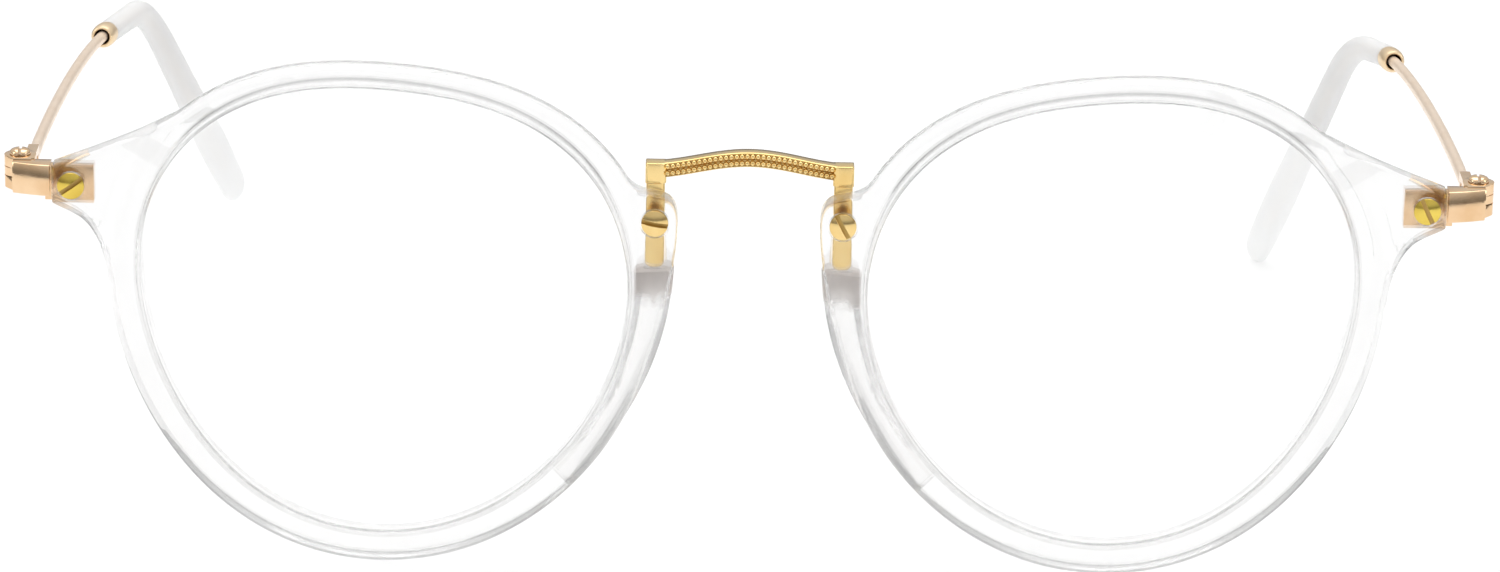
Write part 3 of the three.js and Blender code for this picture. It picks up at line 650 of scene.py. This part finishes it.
def bead_rows():
    template = bead_template()
    bm = bmesh.new()
    for row in BEAD_ROWS:
        for i in range(-BEADS_HALF, BEADS_HALF):
            x = (i + 0.5) * BEAD_PITCH
            start = len(bm.verts)
            bm.from_mesh(template)
            bm.verts.ensure_lookup_table()
            fresh = bm.verts[start:]
            bmesh.ops.translate(bm, verts=fresh, vec=(x, BRIDGE_FRONT + 0.05, underside(x) + row))
    mesh = bpy.data.meshes.new("beads")
    bm.to_mesh(mesh)
    bm.free()
    made = bpy.data.objects.new("beads", mesh)
    bpy.context.scene.collection.objects.link(made)
    return made


def bridge_end():
    """The end block and the leg behind the clear lug, for +x."""
    f, b = BRIDGE_FRONT, BRIDGE_BACK
    inner, outer, proud = BLOCK_IN_X + 0.1, BRIDGE_HALF - 0.03, f - 0.22
    outline = [
        (outer, b), (inner, b), (inner, f + 0.1), (inner + 0.45, proud),
        (BRIDGE_HALF - 0.2, proud), (outer, f - 0.05),
    ]
    low, top = BRIDGE_END_W - 0.5, BRIDGE_END_W + BRIDGE_TALL + 0.1
    block = prism("block", outline, low, top, edge=0.24, sides_too=True)
    half, end, corner = LEG_WIDE / 2, BRIDGE_END_W + 0.4, 0.65
    leg_line = [(LEG_X - half, end)]
    leg_line += arc(LEG_X - half + corner, LEG_LOW_W + corner, corner, 180, 270, 6)
    leg_line += arc(LEG_X + half - corner, LEG_LOW_W + corner, corner, 270, 360, 6)
    leg_line += [(LEG_X + half, end)]
    leg = prism("leg", leg_line, LEG_FRONT, b, plan=False, edge=0.14)
    return [block, leg]


def bridge_shape():
    ends = bridge_end()
    for shape in bridge_end():
        shape.data.transform(Matrix.Diagonal((-1, 1, 1, 1)))
        shape.data.flip_normals()
        ends.append(shape)
    return joined("bridge", [arch_shape(), bead_rows()] + ends)


# ---------- screws ----------
def front_screw(shank_end, turn):
    """A screw with a low domed head, its axis along y and its slot turned in degrees."""
    top = -HALF_DEEP + HEAD_SUNK
    profile = []
    for share in (0, 0.2, 0.4, 0.58, 0.74, 0.88, 1.0):
        profile.append((HEAD_R * 0.93 * share, top - HEAD_DOME * (1 - share * share)))
    profile += [
        (HEAD_R * 0.98, top + 0.03), (HEAD_R, top + 0.09), (HEAD_R, HEAD_BACK - 0.01),
        (HEAD_R - 0.08, HEAD_BACK), (SHANK_R, HEAD_BACK), (SHANK_R, shank_end - 0.12),
        (SHANK_R - 0.12, shank_end), (0, shank_end),
    ]
    screw = lathe("screw", profile, 48)
    screw.data.transform(Matrix.Rotation(math.radians(-90), 4, "X"))
    half = SLOT_WIDE / 2
    across = [(-2, -half), (2, -half), (2, half), (-2, half)]
    slot = prism("slot", across, top - 1, top + SLOT_DEEP, plan=False)
    combine(screw, [slot], "DIFFERENCE")
    round_edges(screw, 0.03, 1, sharper=50)
    screw.data.transform(Matrix.Rotation(math.radians(turn), 4, "Y"))
    return screw


def hinge_screw():
    seat = PIN_SEAT
    profile = [
        (0, PIN_LOW), (PIN_R, PIN_LOW), (PIN_R, seat), (PIN_HEAD_R, seat), (PIN_HEAD_R, seat + 0.2),
        (0.94, seat + 0.32), (0.8, seat + 0.44), (0.6, seat + 0.52), (0.3, seat + 0.57),
        (0, seat + 0.58),
    ]
    screw = lathe("pin", profile, 40)
    half = 0.16
    across = [(-half, -2), (half, -2), (half, 2), (-half, 2)]
    slot = prism("slot", across, seat + 0.2, seat + 2)
    combine(screw, [slot], "DIFFERENCE")
    return move(screw, (HINGE_X, HINGE_Y, 0))


# ---------- endpiece ----------
def bar_shape():
    """The bar beside the lug, with a ridge along its front that curves back to the hinge."""
    rings = []
    for share in np.linspace(0, 1, 15):
        x = BAR_IN_X + (BAR_OUT_X - BAR_IN_X) * share
        front = 1.0 * share**1.5
        section = [
            (front + 0.34, BAR_LOW), (front + 0.24, BAR_LOW + 0.1),
            (front + 0.02, BAR_RIDGE - 0.12), (front, BAR_RIDGE), (front + 0.02, BAR_RIDGE + 0.12),
            (front + 0.12, BAR_TOP - 0.18), (front + 0.2, BAR_TOP - 0.05),
            (front + 0.36, BAR_TOP), (BAR_BACK, BAR_TOP), (BAR_BACK, BAR_LOW),
        ]
        rings.append([(x, y, w) for y, w in section])
    return skin("bar", rings)


def knuckle_outline():
    """A knuckle in plan, rooted in the bar."""
    inner, root_y, inner_y = HINGE_X - 1.2, 1.8, 2.2
    line = [(inner, root_y), (BAR_OUT_X - 0.02, root_y)]
    line += [(HINGE_X + KNUCKLE_R * 0.88, HINGE_Y - KNUCKLE_R * 0.47)]
    line += arc(HINGE_X, HINGE_Y, KNUCKLE_R, -28, 180, 30)
    line += [(HINGE_X - KNUCKLE_R, inner_y), (inner, inner_y)]
    return line


def disc(radius):
    return arc(HINGE_X, HINGE_Y, radius, 0, 352.5, 47)


def endpiece_shape():
    x0, x1, w0, w1 = PLATE
    outline = [(x0, w0), (x1, w0), (x1, w1), (x0, w1)]
    plate = prism("plate", outline, PLATE_FRONT, PLATE_BACK, plan=False)
    knuckles = [prism("knuckle", knuckle_outline(), low, high) for low, high in KNUCKLES]
    combine(plate, [bar_shape()] + knuckles, "UNION")
    swing = prism("swing", disc(KNUCKLE_R + SWING_PLAY), KNUCKLES[0][1], KNUCKLES[1][0])
    hole = prism("hole", disc(PIN_HOLE_R), *PIN_HOLE_SPAN)
    combine(plate, [swing, hole], "DIFFERENCE")
    round_edges(plate, 0.09, 2, sharper=40)
    return plate


# ---------- temple ----------
def leaf_shape():
    x0, x1, y0, y1, w0, w1 = LEAF
    block = prism("block", [(x0, y0), (x1, y0), (x1, y1), (x0, y1)], w0, w1)
    root_y = y0 + 0.5
    arm = [
        (x1, root_y), (x0, root_y), (x0, HINGE_Y + 0.3), (HINGE_X, HINGE_Y),
        (HINGE_X + 0.9, HINGE_Y + 0.9),
    ]
    parts = [prism("arm", arm, *LEAF_KNUCKLE), prism("knuckle", disc(KNUCKLE_R), *LEAF_KNUCKLE)]
    combine(block, parts, "UNION")
    combine(block, [prism("hole", disc(PIN_HOLE_R), *PIN_HOLE_SPAN)], "DIFFERENCE")
    round_edges(block, 0.08, 2, sharper=40)
    return block


def wire_line():
    return cubic(WIRE_START, WIRE_LEAVES, FERRULE - 12 * FERRULE_AXIS, FERRULE, 80)


def tip_line(side):
    """Dense points from the ferrule over the ear bend to the end of the tip."""
    corner = np.array(TIP_CORNER[side])
    drop, inward = math.radians(TIP_DROP[side]), math.radians(TIP_INWARD)
    level = math.cos(inward)
    down = np.array([-math.sin(inward), math.cos(drop) * level, -math.sin(drop) * level])
    back = (FERRULE - corner) / np.linalg.norm(FERRULE - corner)
    setback = TIP_BEND_BEFORE[side]
    before, after = corner + setback * back, corner + TIP_BEND_AFTER[side] * down
    first = cubic(FERRULE, FERRULE + 4 * FERRULE_AXIS, corner + (setback + 3) * back, before, 60)
    bend = np.array(quadratic(before, corner, after, 60))
    straight = np.linspace(after, corner + TIP_STRAIGHT[side] * down, 60)
    return np.vstack([first, bend[1:], straight[1:]])


def line_length(line):
    return np.linalg.norm(np.diff(line, axis=0), axis=1).sum()


def resampled(line, shares):
    """Points and directions at shares of a line's length."""
    steps = np.linalg.norm(np.diff(line, axis=0), axis=1)
    along = np.concatenate([[0], np.cumsum(steps)]) / steps.sum()

    def at(s):
        return np.array([np.interp(s, along, line[:, k]) for k in range(3)]).T

    shares = np.asarray(shares, float)
    step = 0.004
    heading = at(np.minimum(1, shares + step)) - at(np.maximum(0, shares - step))
    return at(shares), heading / np.linalg.norm(heading, axis=1)[:, None]


def hose(name, points, headings, halves, sides):
    """An oval tube along points, with its half-width and half-height at each of them."""
    rings = []
    for point, heading, (wide, tall) in zip(points, headings, halves):
        across = np.cross((0, 0, 1), heading)
        across /= np.linalg.norm(across)
        up = np.cross(heading, across)
        turns = [2 * math.pi * (k + 0.5) / sides for k in range(sides)]
        rings.append([point + across * wide * math.cos(t) + up * tall * math.sin(t) for t in turns])
    return skin(name, rings)


def wire_shape(side):
    """The wire from the hinge leaf to its end inside the tip."""
    line = np.vstack([wire_line(), tip_line(side)[1:]])
    total, rings = line_length(line), 170
    points, headings = resampled(line, np.linspace(0, 1 - WIRE_SHORT_OF_END / total, rings))
    return hose("wire", points, headings, [(WIRE_R, WIRE_R)] * rings, 18)


def tip_shape(side):
    """The tip round the wire: oval, widest near the end, and closed by a rounded cap."""
    line = tip_line(side)
    long = line_length(line)
    first = (FERRULE_LONG / 2 + 0.05) / long
    cap = TIP_END_TALL / (long * (1 - first))
    shares = list(np.linspace(0, 1 - cap, 80))
    for turn in (12, 24, 36, 48, 58, 67, 75, 82, 87):
        shares.append(1 - cap + cap * math.sin(math.radians(turn)))
    halves = []
    for s in shares:
        grow = min(1.0, s / TIP_WIDEST) ** 1.4
        beyond = max(0.0, (s - TIP_WIDEST) / (1 - TIP_WIDEST))
        past = max(0.0, (s - (1 - cap)) / cap)
        close = (1 - TIP_NARROWS * beyond**2) * math.sqrt(1 - past * past)
        lead_in = 1 - 0.1 * max(0.0, 1 - s / 0.008)
        halves.append((
            (TIP_START_R + (TIP_END_WIDE - TIP_START_R) * grow) * close * lead_in,
            (TIP_START_R + (TIP_END_TALL - TIP_START_R) * grow) * close * lead_in,
        ))
    points, headings = resampled(line, [first + (1 - first) * s for s in shares])
    return hose("tip", points, headings, halves, 32)


def ferrule_shape():
    """A sleeve with rounded ends and a flared mouth, from its bore round the mouth to the back."""
    h, bore, mouth, r = FERRULE_LONG / 2, WIRE_R + 0.05, FERRULE_MOUTH_R, FERRULE_R
    profile = [
        (bore, h), (bore, -h + 1.5), (mouth - 0.04, -h + 0.7), (mouth, -h + 0.06),
        (mouth + 0.06, -h), (r - 0.3, -h), (r - 0.22, -h + 0.05), (r - 0.1, -h + 0.3),
        (r - 0.03, -h + 0.7), (r, -h + 1.2), (r, h - 1.2), (r - 0.02, h - 0.7),
        (r - 0.07, h - 0.3), (r - 0.13, h - 0.06), (r - 0.19, h),
    ]
    made = lathe("ferrule", profile + [profile[0]], 48)
    turn = Vector((0, 0, 1)).rotation_difference(Vector(FERRULE_AXIS)).to_matrix().to_4x4()
    return move(made, FERRULE, turn)


# ---------- all pieces ----------
both(rim_shape(), "rim", "clear", "clear_plastic")
both(lens_shape(), "lens", "lens", "demo_lens")
both(pad_shape(), "nose_pad", "pad", "pad_plastic")


# Faces of the sunk channels between the beads, which get the painted groove shade.
def in_a_row(face):
    return abs(face.center.y - BRIDGE_FRONT - ROW_SUNK) < 0.01 and face.normal.y < -0.9


# The slot floors get painted shade.
def in_a_slot(face):
    """Whether a face is the floor of a screw's slot, by its depth behind the front of the rim."""
    nearest, deepest = 0.25, 0.38
    return nearest < face.center.y + HALF_DEEP < deepest


# Faces of the ferrule's bore, which get the painted shadow.
def in_the_painted_mouth_shadow(face):
    offset = np.array(face.center) - FERRULE
    from_axis = offset - FERRULE_AXIS * offset.dot(FERRULE_AXIS)
    return np.linalg.norm(from_axis) < FERRULE_MOUTH_R - 0.01


bridge = bridge_shape()
piece(
    bridge, "bridge_look", "gold", "front", "gold_trim", ["bridge"],
    shade="gold_shade", in_shade=in_a_row,
)
bpy.data.objects.remove(bridge)
for side in SIDES:
    for what, (x, w, turns), end, look in (
        ("bridge_screw", BRIDGE_SCREW, BRIDGE_BACK, "gold"),
        ("endpiece_screw", PLATE_SCREW, PLATE_BACK, "brass"),
    ):
        screw = move(front_screw(end, turns[side]), (x, 0, w))
        name, node = f"{side}_{what}_look", f"{side}_{what}"
        piece(screw, name, look, "front", "brass_screw", [node], side, "brass_shade", in_a_slot)
        bpy.data.objects.remove(screw)
both(hinge_screw(), "hinge_screw", "rose", "rose_gold")
both(endpiece_shape(), "endpiece", "rose", "rose_gold")
both(leaf_shape(), "temple_leaf", "rose", "rose_gold", temple=True)
both(
    ferrule_shape(), "temple_ferrule", "ferrule", "gold_trim", temple=True,
    shade="mouth", in_shade=in_the_painted_mouth_shadow,
)
for side in SIDES:
    for what, maker, look, slot in (
        ("temple_wire", wire_shape, "wire", "temple_wire"),
        ("temple_tip", tip_shape, "milky", "milky_plastic"),
    ):
        shape = maker(side)
        piece(shape, f"{side}_{what}_look", look, side + "_temple", slot, [f"{side}_{what}"], side)
        bpy.data.objects.remove(shape)


# ---------- stage, light and camera ----------
def floor():
    radius, below, sides = 0.8, -0.00002, 96
    turns = np.linspace(0, 2 * math.pi, sides, endpoint=False)
    ring = [(radius * math.cos(a), radius * math.sin(a), below) for a in turns]
    mesh = bpy.data.meshes.new("floor")
    mesh.from_pydata(ring, [], [tuple(range(sides))])
    made = bpy.data.objects.new("floor", mesh)
    bpy.context.scene.collection.objects.link(made)
    mesh.materials.append(floor_material())


def softbox(name, place, target, size, watts):
    light = bpy.data.lights.new(name, "AREA")
    light.shape = "RECTANGLE"
    light.size, light.size_y = size
    light.energy = watts
    made = bpy.data.objects.new(name, light)
    made.location = place
    made.rotation_euler = (Vector(target) - Vector(place)).to_track_quat("-Z", "Y").to_euler()
    bpy.context.scene.collection.objects.link(made)


def camera():
    distance, elevation = 0.6071, math.radians(14.19)
    roll, yaw = math.radians(1.17), math.radians(0.32)
    target = Vector((0.00024, -MIDDLE_Y * MM, 0.02748))
    level = math.cos(elevation)
    look = Vector((math.sin(yaw) * level, math.cos(yaw) * level, -math.sin(elevation)))
    right = Vector((math.cos(yaw), -math.sin(yaw), 0))
    up = right.cross(look)
    x_axis = right * math.cos(roll) + up * math.sin(roll)
    y_axis = up * math.cos(roll) - right * math.sin(roll)
    data = bpy.data.cameras.new("camera")
    sensor, view_width_at_front = 36.0, 0.14218
    data.sensor_fit, data.sensor_width = "HORIZONTAL", sensor
    data.lens = sensor * distance / view_width_at_front
    data.clip_start, data.clip_end = 0.01, 10
    made = bpy.data.objects.new("camera", data)
    place = target - look * distance
    made.matrix_world = Matrix((
        (x_axis.x, y_axis.x, -look.x, place.x),
        (x_axis.y, y_axis.y, -look.y, place.y),
        (x_axis.z, y_axis.z, -look.z, place.z),
        (0, 0, 0, 1),
    ))
    bpy.context.scene.collection.objects.link(made)
    bpy.context.scene.camera = made


def studio():
    """A pale tent whose reflections and refractions see a darker band at the horizon."""
    world = bpy.data.worlds.new("studio")
    world.use_nodes = True
    tree = world.node_tree
    heading = tree.nodes.new("ShaderNodeTexCoord").outputs["Generated"]
    split = tree.nodes.new("ShaderNodeSeparateXYZ")
    ramp = tree.nodes.new("ShaderNodeValToRGB")
    tree.links.new(heading, split.inputs[0])
    tree.links.new(split.outputs["Z"], ramp.inputs["Fac"])
    path = tree.nodes.new("ShaderNodeLightPath")
    seen = tree.nodes.new("ShaderNodeMix")
    seen.data_type = "RGBA"
    seen.inputs["B"].default_value = (0.95, 0.95, 0.95, 1)
    tree.links.new(path.outputs["Is Camera Ray"], seen.inputs["Factor"])
    tree.links.new(ramp.outputs["Color"], seen.inputs["A"])
    tree.links.new(seen.outputs["Result"], tree.nodes["Background"].inputs["Color"])
    stops = ((0.0, 0.22), (0.05, 0.25), (0.26, 0.63), (0.7, 0.74))
    while len(ramp.color_ramp.elements) < len(stops):
        ramp.color_ramp.elements.new(0.5)
    for element, (height, grey) in zip(ramp.color_ramp.elements, stops):
        element.position, element.color = height, (grey, grey, grey, 1)
    return world


floor()
softbox("overhead", (0.0, 0.1, 0.75), (0, 0.05, 0), (0.9, 0.8), 3.95)
softbox("left_strip", (-0.7, -0.25, 0.35), (0, -0.03, 0.03), (0.25, 0.5), 0.7)
softbox("right_strip", (0.7, -0.25, 0.35), (0, -0.03, 0.03), (0.25, 0.5), 0.7)
camera()
scene = bpy.context.scene
scene.world = studio()
scene.view_settings.view_transform = "Standard"
scene.cycles.use_denoising = True
scene.cycles.max_bounces = 16
scene.cycles.transmission_bounces = 14
scene.cycles.transparent_max_bounces = 16
